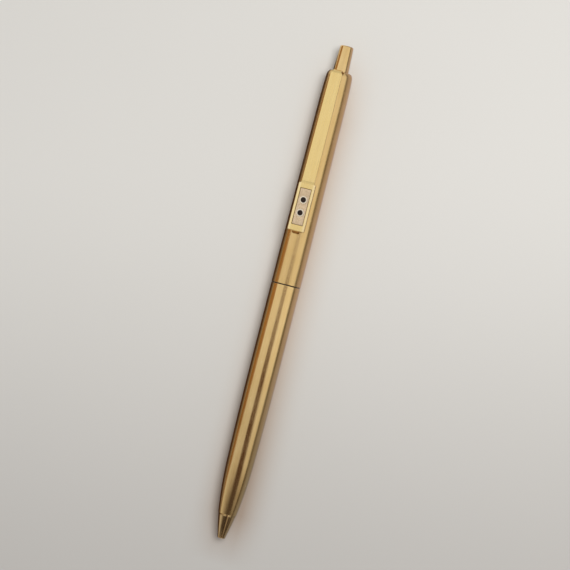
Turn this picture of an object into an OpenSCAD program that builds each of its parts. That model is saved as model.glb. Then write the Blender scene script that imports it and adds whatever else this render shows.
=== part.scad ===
// Slim push-button ballpoint pen: a metal barrel and cap that screw together, a spring clip
// with an inlaid plate, and a click mechanism that pushes a refill out through the nose.
//
// Every piece is drawn standing on the pen's axis. z = 0 is the seam between barrel and cap,
// +z runs to the push button and -z to the writing point, and the clip is on the +y side.
// lay_down() then turns the axis to +X, with the clip on top, at +Z.

/* [Body] */
// Diameter at the seam, the widest place
body_d = 7.8; // [7.8:0.05:8]
// Barrel length, from the seam to the nose joint
barrel_l = 62; // [62:0.5:64]
// Part of the barrel next to the seam that is a true cylinder
straight_l = 20; // [18:1:22]
// Length of the gentle swell that follows the straight part
swell_l = 28; // [26:1:28]
// How much the swell takes off the radius
swell_drop = 0.31; // [0.25:0.01:0.35]
// Barrel diameter where it meets the nose
nose_joint_d = 4.8; // [4.7:0.05:5]
// Wall of the drawn tubes
wall = 0.4; // [0.35:0.01:0.42]

/* [Nose] */
// Nose length, from its joint to the opening
nose_l = 6.4; // [6.4:0.1:6.6]
// Outside diameter at the opening
nose_end_d = 2.06; // [2:0.02:2.2]
// Opening that the writing point comes through
nose_bore_d = 1.5; // [1.46:0.02:1.54]

/* [Cap] */
// Cap length, from the seam to its flat top
cap_l = 57.5; // [57.5:0.5:60]
// Cap diameter where its top starts to round over
cap_neck_d = 7.32; // [7.28:0.02:7.36]
// Cap diameter at the edge of the shoulder
cap_shoulder_d = 6.9; // [6.86:0.02:7]
// Diameter of the flat top around the button
cap_flat_d = 5.2; // [5:0.1:5.4]

/* [Push button] */
// Button diameter where it leaves the cap
button_base_d = 4.15; // [4.1:0.01:4.2]
// Button diameter near its top
button_top_d = 3.56; // [3.5:0.02:3.7]
// How far the button stands out of the cap
button_out = 7; // [6.9:0.1:8]
// Full travel of the button
stroke = 6.2; // [5.8:0.1:6.3]

/* [Clip] */
// Width of the clip's strip where it meets the frame
clip_w = 3.55; // [3.4:0.05:3.7]
// Width of the strip at the cap's top
clip_top_w = 3.2; // [3.1:0.05:3.4]
// Sheet thickness of the clip
clip_t = 0.36; // [0.3:0.02:0.4]
// Width of the frame at the clip's free end
frame_w = 4.5; // [4.4:0.05:4.6]
// Length of that frame
frame_l = 12.65; // [12.5:0.05:14]
// Distance from the seam to the frame's free end
frame_z = 14.25; // [12:0.05:16]
// Height of the frame's face over the pen's axis
frame_h = 5.05; // [5:0.01:5.3]
// Width of the foot under the free end
foot_w = 1.95; // [1.6:0.05:2.4]

/* [Inlay] */
// Width of the inlaid plate
inlay_w = 2.95; // [2.8:0.05:3.1]
// Length of the inlaid plate
inlay_l = 9.65; // [9:0.05:9.8]
// Outside diameter of the two round stud rims
stud_d = 2; // [1.6:0.1:2.2]
// Diameter of the enamel in each rim
enamel_d = 1.4; // [1.1:0.1:1.5]
// Distance between the two studs
stud_pitch = 3.45; // [3:0.05:4.5]

/* [Thread] */
// Major diameter of the thread that joins barrel and cap
thread_d = 5.8; // [5.7:0.05:5.85]
// Pitch of that thread
thread_pitch = 0.75; // [0.5:0.05:0.8]
// Length of the threaded stub above the seam
thread_l = 4.6; // [4:0.1:4.7]

/* [Refill] */
// Diameter of the refill's ink tube
refill_d = 4.2; // [4:0.05:4.3]
// Diameter of the slim front of the refill
nozzle_d = 2.5; // [2.3:0.05:2.5]
// Diameter of the straight neck of the writing point
neck_d = 1.3; // [1.1:0.02:1.34]
// Diameter of the writing ball
ball_d = 0.8; // [0.7:0.05:0.8]
// How far the ball sits inside the nose when the point is in
ball_depth = 3.4; // [3.2:0.1:3.6]

/* [Spring] */
// Diameter of the spring wire
wire_d = 0.3; // [0.24:0.02:0.34]
// Number of turns, with one closed turn at each end
coils = 11; // [9:1:13]

/* [Click mechanism] */
// Number of ribs on the plunger and on the index cam
rib_n = 4; // [4:1:4]
// Width of each rib, in degrees
rib_deg = 24; // [20:1:26]
// Width of each groove in the cam guide, in degrees
groove_deg = 60; // [58:1:64]
// Angle that the cam turns while the button goes down
index_deg = 22.5; // [22.5:0.5:22.5]
// Number of teeth on the plunger and on the cam
tooth_n = 8; // [8:1:8]
// Depth of those teeth
tooth_h = 0.5; // [0.3:0.05:0.6]

/* [Smoothness] */
// Segments of a full circle
round_fn = 96; // [48:8:128]

/* [Hidden] */
$fn = round_fn;

gold = [0.83, 0.69, 0.43];
bright_gold = [0.92, 0.80, 0.52];
silver = [0.80, 0.72, 0.62];
brass = [0.78, 0.62, 0.32];
steel = [0.72, 0.73, 0.75];
nylon = [0.92, 0.92, 0.88];
black = [0.08, 0.07, 0.07];
ink_blue = [0.05, 0.08, 0.35];
grease = [0.80, 0.82, 0.70];

// Gap between pieces that are pressed together, and between pieces that slide or turn
snug = 0.02;
free = 0.05;
// Small chamfer on the edges of turned pieces
edge = 0.1;

// Barrel outline: straight, then a gentle swell, then a tighter curve down to the nose
body_r = body_d / 2;
nose_joint_r = nose_joint_d / 2;
swell_bend = swell_l * swell_l / (2 * swell_drop);
swell_slope = swell_l / swell_bend;
front_l = barrel_l - straight_l - swell_l;
front_drop = body_r - swell_drop - nose_joint_r;
front_bend = front_l * front_l / (2 * (front_drop - swell_slope * front_l));
curve_n = 12;

// Seam ring, and the faces of barrel and cap on either side of it
ring_h = 0.2;
ring_sink = 0.16;
seam_z = ring_h / 2 + snug;
ring_r = body_r - ring_sink;

// Barrel bore, stepped down with the outline; the last stretch holds the nose's spigot
bore_r = body_r - wall;
bore_taper_z = -28;
bore_mid_r = 3.1;
bore_mid_z = -46;
bore_front_r = 2.55;
bore_front_z = -55;
spigot_r = 1.92;
spigot_l = 3.4;
spigot_bore_r = spigot_r + snug;
spigot_bore_z = -barrel_l + 3.8;

// Nose outline: it starts a hair inside the barrel's edge, so the joint shows as a fine line
nose_z = -barrel_l - snug;
nose_end_z = -barrel_l - nose_l;
nose_start_r = nose_joint_r - snug;
nose_slope = 0.19;
nose_round = 0.14;
nose_curve_l = nose_l - nose_round;
nose_drop = nose_start_r - nose_end_d / 2;
nose_bend = nose_curve_l * nose_curve_l / (2 * (nose_drop - nose_slope * nose_curve_l));
nose_inner_r = 1.5;
nose_throat_l = 1.9;

// Thread stub and the bushes that carry the thread
thread_r = thread_d / 2;
thread_depth = 0.3;
stub_bore_r = refill_d / 2 + 0.2;
coupling_l = 7;
cap_bush_l = 8;
cap_bush_bore_l = 5;

// Cap outline and bore
cap_straight_l = 8;
cap_neck_z = cap_l - 8.5;
cap_neck_r = cap_neck_d / 2;
cap_shoulder_r = cap_shoulder_d / 2;
cap_flat_r = cap_flat_d / 2;
shoulder_l = 1.6;
cap_slope = (body_r - cap_neck_r) / (cap_neck_z - cap_straight_l);
neck_l = cap_l - shoulder_l - cap_neck_z;
neck_bend = neck_l * neck_l / (2 * (cap_neck_r - cap_shoulder_r - cap_slope * neck_l));
cap_bush_r = 3.38;
cap_bore_r = 3.25;
cap_top_bore_r = 3.05;
cap_step_z = cap_l - 7.3;
cap_roof_z = cap_l - 0.9;
roof_hole_r = button_base_d / 2 + 0.12;

// Clip root: a tab inside the cap, a tight inner bend, then a wide bend over the shoulder.
// The strip narrows to the root, which lies in a slot open through the cap's shoulder.
root_w = 2.4;
root_start_z = cap_l - 0.95;
root_taper_l = 0.4;
tab_w = 2.2;
tab_y = 2.26;
tab_z = cap_l - 2.7;
root_top_z = cap_l + 0.1;
outer_bend = 1.2;
inner_bend = 0.5;
strip_root_h = 4.3;
strip_end_h = 4.75;
ramp_l = 0.6;
slot_w = 3.1;
slot_end_y = 3.6;

// Frame at the free end, with its pocket for the inlay
frame_t = 0.85;
frame_bevel = 0.12;
frame_top_z = frame_z + frame_l;
pocket_depth = 0.35;
pocket_gap = 0.05;
pocket_z = frame_z + (frame_l - inlay_l) / 2 + 0.1;
pocket_floor = frame_h - pocket_depth;
inlay_t = 0.22;
stud_rim_h = 0.28;
enamel_h = 0.25;
stud_mid_z = pocket_z + inlay_l / 2 + 0.1;

// Foot: a lip that slopes down from the frame's end to a rounded edge just clear of the cap
foot_r = 0.33;
foot_h = 4.25;
foot_z = frame_z - 0.3;
foot_top_h = frame_h - 0.15;
foot_root_z = frame_z + 0.3;

// Push button
button_top_z = cap_l + button_out;
button_base_r = button_base_d / 2;
button_top_r = button_top_d / 2;
button_round = 0.35;
button_foot_z = cap_l - 8;
button_bore_r = 1.6;
button_roof = 0.6;

// Cam guide, plunger and index cam share these radii
guide_z = 23;
guide_l = 16.5;
land_z = guide_z + 1.6;
land_r = 2.45;
groove_r = 2.8;
sleeve_r = 2.36;
rib_r = 2.74;
land_deg = 360 / rib_n - groove_deg;
cam_z = 23.4;
cam_top_z = 30;
cam_rib_z = cam_z + 1.6;
cam_rib_l = 4.6;
cam_rib_ramp = 0.9;
cam_spigot_r = 1.38;
cam_spigot_l = 4;
cup_r = 1.4;
cup_l = 2.8;
plunger_z = cam_top_z + 0.08;
plunger_bore_r = cam_spigot_r + free;
plunger_bore_l = 7;
plunger_rib_l = 7;
flange_r = 2.9;
flange_l = 1.2;
flange_z = guide_z + guide_l + stroke + 0.2;
stem_r = button_bore_r - snug;

// Bush under the cap's roof
top_bush_z = flange_z + flange_l + free;
top_bush_bore_r = button_base_r + 0.06;

// Refill, from the ball up
refill_r = refill_d / 2;
refill_bore_r = refill_r - 0.24;
plug_r = refill_bore_r - snug;
nozzle_r = nozzle_d / 2;
neck_r = neck_d / 2;
ball_r = ball_d / 2;
ball_z = nose_end_z + ball_depth + ball_r;
lip_z = ball_z - ball_r * 0.45;
lip_r = ball_r + 0.07;
socket_r = ball_r + snug;
neck_cone_z = ball_z + 0.5;
tip_cone_z = nose_end_z + nose_throat_l + stroke + 0.1;
tip_rear_z = tip_cone_z + 3;
tip_stem_l = 3.2;
nozzle_bore_r = 0.8;
channel_r = 0.2;
collar_z = -38.5;
collar_l = 1.2;
tube_z = collar_z + collar_l + snug;
nozzle_stem_l = 2.8;
tube_top_z = 22;
plug_head_z = cam_z - snug;
plug_stem_l = 2.6;
plug_stem_r = cup_r - free;
ink_z = tube_z + nozzle_stem_l;
ink_top_z = 8;
follower_l = 2.5;

// Return spring, between the nose's spigot and the refill's collar
spring_r = 1.7;
spring_z = nose_z + spigot_l + free;
spring_top_z = collar_z - free;
coil_steps = 20;
wire_sides = 6;

// Radius lost along a curve that starts with a slope and tightens with the given bend
function curve_drop(t, slope, bend) = slope * t + t * t / (2 * bend);

// Points of an arc in the (radius, height) plane
function arc(centre, r, from, to, n = 8) =
    [for (i = [0:n]) let (a = from + (to - from) * i / n) centre + r * [cos(a), sin(a)]];

// Height of the spring's wire centre after a number of turns
function coil_z(turns) =
    let (first = spring_z + wire_d / 2, last = spring_top_z - wire_d / 2)
    let (active = (last - first - 2 * wire_d) / (coils - 2))
    turns < 1 ? first + turns * wire_d :
    turns > coils - 1 ? last - (coils - turns) * wire_d :
    first + wire_d + (turns - 1) * active;

module lay_down() {
    rotate([90, 0, 90]) children();
}

// A 2D shape in the (y, z) plane, given a width across the pen
module across(width) {
    rotate([90, 0, 90]) translate([0, 0, -width / 2]) linear_extrude(width) children();
}

// A ring from radius r0 to r1, standing on height z
module ring(r0, r1, z, h) {
    rotate_extrude() translate([r0, z]) square([r1 - r0, h]);
}

// Part of a ring, centred on the angle mid
module ring_part(r0, r1, z, h, mid, width) {
    rotate([0, 0, mid - width / 2])
        rotate_extrude(angle = width)
            translate([r0, z]) square([r1 - r0, h]);
}

// V-shaped notches across a ring's end face, with their points at height z
module tooth_notches(z, height) {
    half_w = 0.5 * 180 / tooth_n * PI / 180 * sleeve_r;
    for (i = [0:tooth_n - 1])
        rotate([0, 0, i * 360 / tooth_n])
            rotate([90, 0, 90])
                linear_extrude(sleeve_r + 1)
                    polygon([[0, z], [half_w, z + height], [-half_w, z + height]]);
}

module barrel_shell() {
    swell = [for (i = [0:curve_n]) let (t = swell_l * i / curve_n)
        [body_r - curve_drop(t, 0, swell_bend), -straight_l - t]];
    front = [for (i = [1:curve_n]) let (t = front_l * i / curve_n)
        [body_r - swell_drop - curve_drop(t, swell_slope, front_bend), -straight_l - swell_l - t]];
    bore = [
        [spigot_bore_r, -barrel_l], [spigot_bore_r, spigot_bore_z],
        [bore_front_r, bore_front_z], [bore_mid_r, bore_mid_z],
        [bore_r, bore_taper_z], [bore_r, -seam_z]
    ];
    color(gold) lay_down()
        rotate_extrude()
            polygon(concat(
                [[body_r - edge, -seam_z], [body_r, -seam_z - edge]],
                swell, front, bore));
}

module nose_cone() {
    outline = [for (i = [0:curve_n]) let (t = nose_curve_l * i / curve_n)
        [nose_start_r - curve_drop(t, nose_slope, nose_bend), nose_z - t]];
    end_r = nose_end_d / 2;
    rim = arc([end_r - nose_round, nose_end_z + nose_round], nose_round, 0, -90, 4);
    throat_r = nose_bore_d / 2;
    color(bright_gold) lay_down()
        rotate_extrude()
            polygon(concat(
                [[nose_inner_r, nose_z + spigot_l], [spigot_r, nose_z + spigot_l], [spigot_r, nose_z]],
                outline, rim,
                [[throat_r, nose_end_z], [throat_r, nose_end_z + nose_throat_l],
                 [nose_inner_r, nose_z - 0.5]]));
}

module barrel_coupling() {
    turns = floor((thread_l - 0.6) / thread_pitch);
    minor_r = thread_r - thread_depth;
    ridges = [for (i = [0:turns - 1]) let (z = 0.7 + i * thread_pitch) each [
        [minor_r, z], [thread_r, z + thread_pitch * 0.4],
        [thread_r, z + thread_pitch * 0.55], [minor_r, z + thread_pitch * 0.95]]];
    color(brass) lay_down()
        rotate_extrude()
            polygon(concat(
                [[stub_bore_r, -coupling_l], [bore_r - snug, -coupling_l],
                 [bore_r - snug, -seam_z - edge], [minor_r, -seam_z - edge]],
                ridges,
                [[minor_r, thread_l], [stub_bore_r, thread_l]]));
}

module return_spring() {
    steps = coils * coil_steps;
    points = [for (i = [0:steps], j = [0:wire_sides - 1])
        let (turn = i / coil_steps, a = 360 * turn, b = 360 * j / wire_sides,
             r = spring_r + wire_d / 2 * cos(b))
        [r * cos(a), r * sin(a), coil_z(turn) + wire_d / 2 * sin(b)]];
    function at(i, j) = i * wire_sides + j % wire_sides;
    sides = [for (i = [0:steps - 1], j = [0:wire_sides - 1]) each [
        [at(i, j), at(i, j + 1), at(i + 1, j)],
        [at(i, j + 1), at(i + 1, j + 1), at(i + 1, j)]]];
    ends = [
        [for (j = [wire_sides - 1:-1:0]) at(0, j)],
        [for (j = [0:wire_sides - 1]) at(steps, j)]
    ];
    color(steel) lay_down()
        polyhedron(points, concat(sides, ends));
}

module seam_ring() {
    color(black) lay_down()
        ring(thread_r + free, ring_r, -ring_h / 2, ring_h);
}

module cap_shell() {
    neck = [for (i = [0:curve_n]) let (t = neck_l * i / curve_n)
        [cap_neck_r - curve_drop(t, cap_slope, neck_bend), cap_neck_z + t]];
    shoulder = [for (i = [1:curve_n]) let (a = 90 * i / curve_n)
        [cap_flat_r + (cap_shoulder_r - cap_flat_r) * cos(a), cap_l - shoulder_l * (1 - sin(a))]];
    bore = [
        [roof_hole_r, cap_l], [roof_hole_r, cap_roof_z],
        [cap_top_bore_r, cap_roof_z], [cap_top_bore_r, cap_step_z + 0.3],
        [cap_bore_r, cap_step_z], [cap_bore_r, seam_z + cap_bush_l + free],
        [cap_bush_r + snug, seam_z + cap_bush_l + free], [cap_bush_r + snug, seam_z]
    ];
    color(gold) lay_down()
        difference() {
            rotate_extrude()
                polygon(concat(
                    [[body_r - edge, seam_z], [body_r, seam_z + edge], [body_r, cap_straight_l]],
                    neck, shoulder, bore));
            translate([-slot_w / 2, roof_hole_r * 0.6, cap_roof_z - 0.1])
                cube([slot_w, slot_end_y - roof_hole_r * 0.6, 2]);
        }
}

module cap_coupling() {
    color(brass) lay_down()
        rotate_extrude()
            polygon([
                [thread_r + free, seam_z], [cap_bush_r, seam_z],
                [cap_bush_r, seam_z + cap_bush_l], [stub_bore_r, seam_z + cap_bush_l],
                [stub_bore_r, cap_bush_bore_l], [thread_r + free, cap_bush_bore_l]]);
}

module cam_guide() {
    color(nylon) lay_down()
        difference() {
            union() {
                ring(groove_r, cap_bore_r - snug, guide_z, guide_l);
                for (i = [0:rib_n - 1])
                    ring_part(land_r, groove_r + 0.1, land_z, guide_z + guide_l - land_z,
                              (i + 0.5) * 360 / rib_n, land_deg);
            }
            // the lower end of each land is a ramp that turns the cam
            for (i = [0:rib_n - 1])
                rotate([0, 0, (i + 0.5) * 360 / rib_n])
                    rotate([90, 0, 90])
                        linear_extrude(groove_r)
                            polygon([[-1, land_z - 0.1], [1, land_z - 0.1], [1, land_z + 0.9]]);
        }
}

module top_bush() {
    color(black) lay_down()
        difference() {
            rotate_extrude()
                polygon([
                    [top_bush_bore_r, top_bush_z], [cap_bore_r - snug, top_bush_z],
                    [cap_bore_r - snug, cap_step_z - snug],
                    [cap_top_bore_r - snug, cap_step_z + 0.3 - snug],
                    [cap_top_bore_r - snug, cap_roof_z - snug],
                    [top_bush_bore_r, cap_roof_z - snug]]);
            // notch that holds the clip's tab
            translate([-tab_w / 2 - 0.12, 0, tab_z - 0.12])
                cube([tab_w + 0.24, cap_bore_r, cap_l - tab_z]);
        }
}

// Side view of the clip, from its tab to the start of the frame
module clip_side() {
    bend_z = root_top_z - outer_bend;
    root_y = strip_root_h - outer_bend;
    tab_bend = [tab_y + inner_bend, root_top_z - inner_bend];
    polygon(concat(
        [[tab_y, tab_z]],
        arc(tab_bend, inner_bend, 180, 90),
        arc([root_y, bend_z], outer_bend, 90, 0),
        [[strip_end_h, frame_top_z + ramp_l], [frame_h, frame_top_z], [frame_h, frame_top_z - 0.1],
         [frame_h - frame_t, frame_top_z - 0.1], [strip_end_h - clip_t, frame_top_z + ramp_l]],
        arc([root_y, bend_z], outer_bend - clip_t, 0, 90),
        arc(tab_bend, inner_bend - clip_t, 90, 180),
        [[tab_y + clip_t, tab_z]]));
}

// Side view of the foot
module foot_side() {
    polygon(concat(
        [[frame_h - frame_t, foot_root_z], [foot_top_h, foot_root_z], [foot_top_h, frame_z]],
        arc([foot_h, foot_z], foot_r, -38, -180),
        [[frame_h - frame_t, frame_z]]));
}

module clip() {
    side_x = frame_w / 2;
    face_x = side_x - frame_bevel;
    color(bright_gold) lay_down()
        difference() {
            union() {
                intersection() {
                    across(clip_w) clip_side();
                    // the strip tapers to its root, and narrows again to the tab in the cap
                    union() {
                        translate([0, strip_root_h - outer_bend + frame_h, 0])
                            rotate([90, 0, 0])
                                linear_extrude(frame_h)
                                    polygon([
                                        [-clip_w / 2, frame_z], [clip_w / 2, frame_z],
                                        [clip_w / 2, frame_top_z],
                                        [clip_top_w / 2, root_start_z],
                                        [root_w / 2, root_start_z + root_taper_l],
                                        [root_w / 2, cap_l + 1], [-root_w / 2, cap_l + 1],
                                        [-root_w / 2, root_start_z + root_taper_l],
                                        [-clip_top_w / 2, root_start_z],
                                        [-clip_w / 2, frame_top_z]]);
                        translate([-root_w / 2, tab_y - 1, root_start_z + root_taper_l])
                            cube([root_w, frame_h, cap_l]);
                        translate([-tab_w / 2, tab_y - 1, tab_z - 1])
                            cube([tab_w, 2, cap_l]);
                    }
                }
                translate([0, 0, frame_z])
                    linear_extrude(frame_l)
                        polygon([
                            [-side_x, frame_h - frame_t], [side_x, frame_h - frame_t],
                            [side_x, frame_h - frame_bevel], [face_x, frame_h],
                            [-face_x, frame_h], [-side_x, frame_h - frame_bevel]]);
                across(foot_w) foot_side();
            }
            translate([-inlay_w / 2 - pocket_gap, pocket_floor, pocket_z - pocket_gap])
                cube([inlay_w + 2 * pocket_gap, frame_t, inlay_l + 2 * pocket_gap]);
        }
}

// Cylinders at the two stud places, standing on the pocket's floor
module at_studs(r, h, lift = snug) {
    for (side = [-1, 1])
        translate([0, pocket_floor + lift, stud_mid_z + side * stud_pitch / 2])
            rotate([-90, 0, 0])
                cylinder(h = h, r = r);
}

module clip_inlay() {
    color(silver) lay_down()
        difference() {
            translate([-inlay_w / 2, pocket_floor + snug, pocket_z])
                cube([inlay_w, inlay_t, inlay_l]);
            at_studs(stud_d / 2 + snug, 1, -0.1);
        }
}

module stud_rims() {
    color(silver) lay_down()
        difference() {
            at_studs(stud_d / 2, stud_rim_h);
            at_studs(enamel_d / 2 + snug, 1, -0.1);
        }
}

module stud_enamel() {
    color(black) lay_down()
        at_studs(enamel_d / 2, enamel_h);
}

module push_button() {
    top = arc([button_top_r - button_round, button_top_z - button_round], button_round, 0, 90, 6);
    color(gold) lay_down()
        rotate_extrude()
            polygon(concat(
                [[button_bore_r, button_foot_z], [button_base_r, button_foot_z],
                 [button_base_r, cap_l]],
                top,
                [[0, button_top_z], [0, button_top_z - button_roof],
                 [button_bore_r, button_top_z - button_roof]]));
}

module plunger() {
    color(nylon) lay_down()
        union() {
            difference() {
                rotate_extrude()
                    polygon([
                        [plunger_bore_r, plunger_z], [sleeve_r, plunger_z],
                        [sleeve_r, flange_z], [flange_r, flange_z],
                        [flange_r, flange_z + flange_l], [stem_r, flange_z + flange_l],
                        [stem_r, button_top_z - button_roof - free],
                        [0, button_top_z - button_roof - free],
                        [0, plunger_z + plunger_bore_l],
                        [plunger_bore_r, plunger_z + plunger_bore_l]]);
                // teeth that point down at the cam
                translate([0, 0, 2 * plunger_z + tooth_h])
                    mirror([0, 0, 1])
                        tooth_notches(plunger_z, tooth_h + 0.1);
            }
            for (i = [0:rib_n - 1])
                ring_part(sleeve_r - 0.3, rib_r, plunger_z + 1, plunger_rib_l,
                          i * 360 / rib_n, rib_deg);
        }
}

module index_cam() {
    // each rib starts on one side of its groove and turns to the other
    start_deg = -index_deg / 2;
    color(steel) lay_down()
        difference() {
            union() {
                ring(0, sleeve_r, cam_z, cam_top_z - cam_z);
                ring(0, cam_spigot_r, cam_top_z - 0.1, cam_spigot_l + 0.1);
                for (i = [0:rib_n - 1])
                    ring_part(sleeve_r - 0.3, rib_r, cam_rib_z, cam_rib_l,
                              i * 360 / rib_n + start_deg, rib_deg);
            }
            ring(0, cup_r, cam_z - 1, cup_l + 1);
            difference() {
                tooth_notches(cam_top_z - tooth_h, tooth_h + 0.1);
                ring(0, cam_spigot_r, cam_z, cam_top_z);
            }
            // bevelled top of each rib
            for (i = [0:rib_n - 1])
                rotate([0, 0, i * 360 / rib_n + start_deg])
                    rotate([90, 0, 90])
                        translate([0, 0, sleeve_r])
                            linear_extrude(1)
                                polygon([
                                    [-1, cam_rib_z + cam_rib_l + 0.1],
                                    [1, cam_rib_z + cam_rib_l + 0.1],
                                    [1, cam_rib_z + cam_rib_l - cam_rib_ramp]]);
        }
}

module refill_nozzle() {
    color(brass) lay_down()
        rotate_extrude()
            polygon([
                [nozzle_bore_r, tip_rear_z + snug], [nozzle_r, tip_rear_z + snug],
                [nozzle_r, collar_z], [refill_r, collar_z],
                [refill_r, collar_z + collar_l], [plug_r, collar_z + collar_l],
                [plug_r, tube_z + nozzle_stem_l - free],
                [nozzle_bore_r, tube_z + nozzle_stem_l - free]]);
}

module refill_tube() {
    color(steel) lay_down()
        ring(refill_bore_r, refill_r, tube_z, tube_top_z - tube_z);
}

module refill_tip() {
    stem_top = tip_rear_z + tip_stem_l;
    lip_deg = asin((lip_z - ball_z) / socket_r);
    channel_deg = acos(channel_r / socket_r);
    color(steel) lay_down()
        rotate_extrude()
            polygon(concat(
                arc([0, ball_z], socket_r, lip_deg, channel_deg),
                [[channel_r, stem_top], [nozzle_bore_r - snug, stem_top],
                 [nozzle_bore_r - snug, tip_rear_z], [nozzle_r, tip_rear_z],
                 [neck_r, tip_cone_z], [neck_r, neck_cone_z], [lip_r, lip_z]]));
}

module writing_ball() {
    color(steel) lay_down()
        translate([0, 0, ball_z])
            sphere(r = ball_r);
}

module ink_column() {
    color(ink_blue) lay_down()
        ring(0, plug_r, ink_z, ink_top_z - ink_z);
}

module grease_follower() {
    color(grease) lay_down()
        ring(0, plug_r, ink_top_z + snug, follower_l);
}

module refill_plug() {
    color(black) lay_down()
        rotate_extrude()
            polygon([
                [0, tube_top_z - 3], [plug_r, tube_top_z - 3],
                [plug_r, tube_top_z + snug], [refill_r, tube_top_z + snug],
                [refill_r, plug_head_z], [plug_stem_r, plug_head_z],
                [plug_stem_r, plug_head_z + plug_stem_l], [0, plug_head_z + plug_stem_l]]);
}

barrel_shell();
nose_cone();
barrel_coupling();
return_spring();
seam_ring();
cap_shell();
cap_coupling();
cam_guide();
top_bush();
clip();
clip_inlay();
stud_rims();
stud_enamel();
push_button();
plunger();
index_cam();
refill_nozzle();
refill_tube();
refill_tip();
ink_column();
grease_follower();
refill_plug();
writing_ball();
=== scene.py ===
"""Looks of a slim push-button ballpoint pen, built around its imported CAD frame.

Everything is in metres, in the row frame: +X along the pen towards the push button, +Z out
through the clip, and the origin on the axis at the seam. Lengths written in millimetres are
multiplied by MM where they are used.
"""
import math

import bmesh
import bpy
from mathutils import Matrix, Vector


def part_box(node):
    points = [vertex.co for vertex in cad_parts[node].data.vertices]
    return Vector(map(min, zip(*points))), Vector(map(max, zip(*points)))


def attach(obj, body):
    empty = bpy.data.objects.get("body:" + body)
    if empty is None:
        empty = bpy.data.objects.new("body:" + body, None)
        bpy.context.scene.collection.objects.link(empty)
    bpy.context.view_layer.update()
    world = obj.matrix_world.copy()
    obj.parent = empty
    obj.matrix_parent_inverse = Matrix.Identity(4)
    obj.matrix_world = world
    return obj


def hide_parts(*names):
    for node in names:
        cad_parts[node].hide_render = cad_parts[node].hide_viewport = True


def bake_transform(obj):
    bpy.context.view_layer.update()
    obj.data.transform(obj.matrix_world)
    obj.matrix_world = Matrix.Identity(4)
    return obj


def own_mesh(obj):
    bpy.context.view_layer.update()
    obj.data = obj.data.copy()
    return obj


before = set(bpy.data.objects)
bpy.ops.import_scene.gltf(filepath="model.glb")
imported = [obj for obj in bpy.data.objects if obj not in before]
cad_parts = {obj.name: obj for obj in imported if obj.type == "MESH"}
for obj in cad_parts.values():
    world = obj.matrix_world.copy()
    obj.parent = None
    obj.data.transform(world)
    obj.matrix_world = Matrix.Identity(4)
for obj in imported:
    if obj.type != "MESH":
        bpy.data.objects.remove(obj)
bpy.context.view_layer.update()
MM = 0.001


# ---------------------------------------------------------------- sizes from the frame

def ends(node):
    """Lowest and highest x of a CAD node."""
    low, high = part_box(node)
    return low.x, high.x


def radius(node):
    """Half the width of a CAD node across the pen."""
    low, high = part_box(node)
    return (high.y - low.y) / 2


BODY_R = radius("barrel_shell")
BARREL_FRONT, BARREL_SEAM = ends("barrel_shell")
CAP_SEAM, CAP_TOP = ends("cap_shell")
NOSE_END, SPIGOT_TOP = ends("nose_cone")
BUTTON_FOOT, BUTTON_TOP = ends("push_button")
SPRING_FRONT, SPRING_BACK = ends("return_spring")
SNUG = 0.02 * MM

# barrel: a straight stretch, a gentle swell, then a tighter curve to the nose
STRAIGHT_L = 20 * MM
SWELL_L = 28 * MM
SWELL_DROP = 0.31 * MM
NOSE_JOINT_R = 2.4 * MM
EDGE_ROUND = 0.07 * MM
FRONT_LIP_R = 0.1 * MM
SPIGOT_R = 1.92 * MM

# cap: a cylinder, a slow taper, a neck and a rounded shoulder
CAP_STRAIGHT_L = 8 * MM
CAP_NECK_BACK = 8.5 * MM
CAP_NECK_R = 3.66 * MM
CAP_SHOULDER_R = 3.45 * MM
CAP_FLAT_R = 2.6 * MM
SHOULDER_L = 1.6 * MM
ROOF_T = 0.9 * MM

# clip
CLIP_LOW, CLIP_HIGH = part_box("clip")
CLIP_T = 0.36 * MM
STRIP_W = 3.55 * MM
STRIP_TOP_W = 3.2 * MM
ROOT_W = 2.4 * MM
ROOT_START = CAP_TOP - 0.95 * MM
ROOT_TAPER_L = 0.4 * MM
TAB_W = 2.2 * MM
FOOT_R = 0.33 * MM
FRAME_L = 12.65 * MM
FRAME_T = 0.85 * MM
FRAME_BEVEL = 0.12 * MM
FRAME_X0 = CLIP_LOW.x + FOOT_R + 0.3 * MM
FRAME_X1 = FRAME_X0 + FRAME_L
FRAME_TOP = CLIP_HIGH.z
FRAME_W = CLIP_HIGH.y - CLIP_LOW.y
RAMP_L = 0.6 * MM
INLAY_GAP = 0.06 * MM

# camera: straight above the seam, tilted to the pen's right and leaning across it
CAMERA_TILT = math.radians(13)
CAMERA_LEAN = math.radians(14.4)
CAMERA_DISTANCE = 0.5
CAMERA_ASIDE = 0.24 * MM
VIEW_WIDTH = 149.3 * MM

# studio
FLOOR_HALF_W = 3.0
LAMP_PLACE = (0.16, -0.34, 0.85)
LAMP_W = 0.5
LAMP_WATTS = 6.25
LAMP_TINT = (1.0, 0.99, 0.97)
ROOM_LIGHT = (0.31, 0.298, 0.288, 1.0)
WALL_TINT = (0.44, 0.245, 0.105, 1.0)
DARK_TINT = (0.18, 0.105, 0.075, 1.0)
STEEP_TINT = (1.0, 0.84, 0.74, 1.0)


# ---------------------------------------------------------------- mesh helpers

def make_object(name, bm, sharp_deg=35):
    """Turns a bmesh into a smooth-shaded object with sharp edges over sharp_deg. Vertices
    without a face, such as those between two poles, are dropped."""
    loose = [v for v in bm.verts if not v.link_faces]
    bmesh.ops.delete(bm, geom=loose, context="VERTS")
    bmesh.ops.recalc_face_normals(bm, faces=bm.faces)
    mesh = bpy.data.meshes.new(name)
    bm.to_mesh(mesh)
    bm.free()
    finish_mesh(mesh, sharp_deg)
    piece = bpy.data.objects.new(name, mesh)
    bpy.context.collection.objects.link(piece)
    return piece


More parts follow.
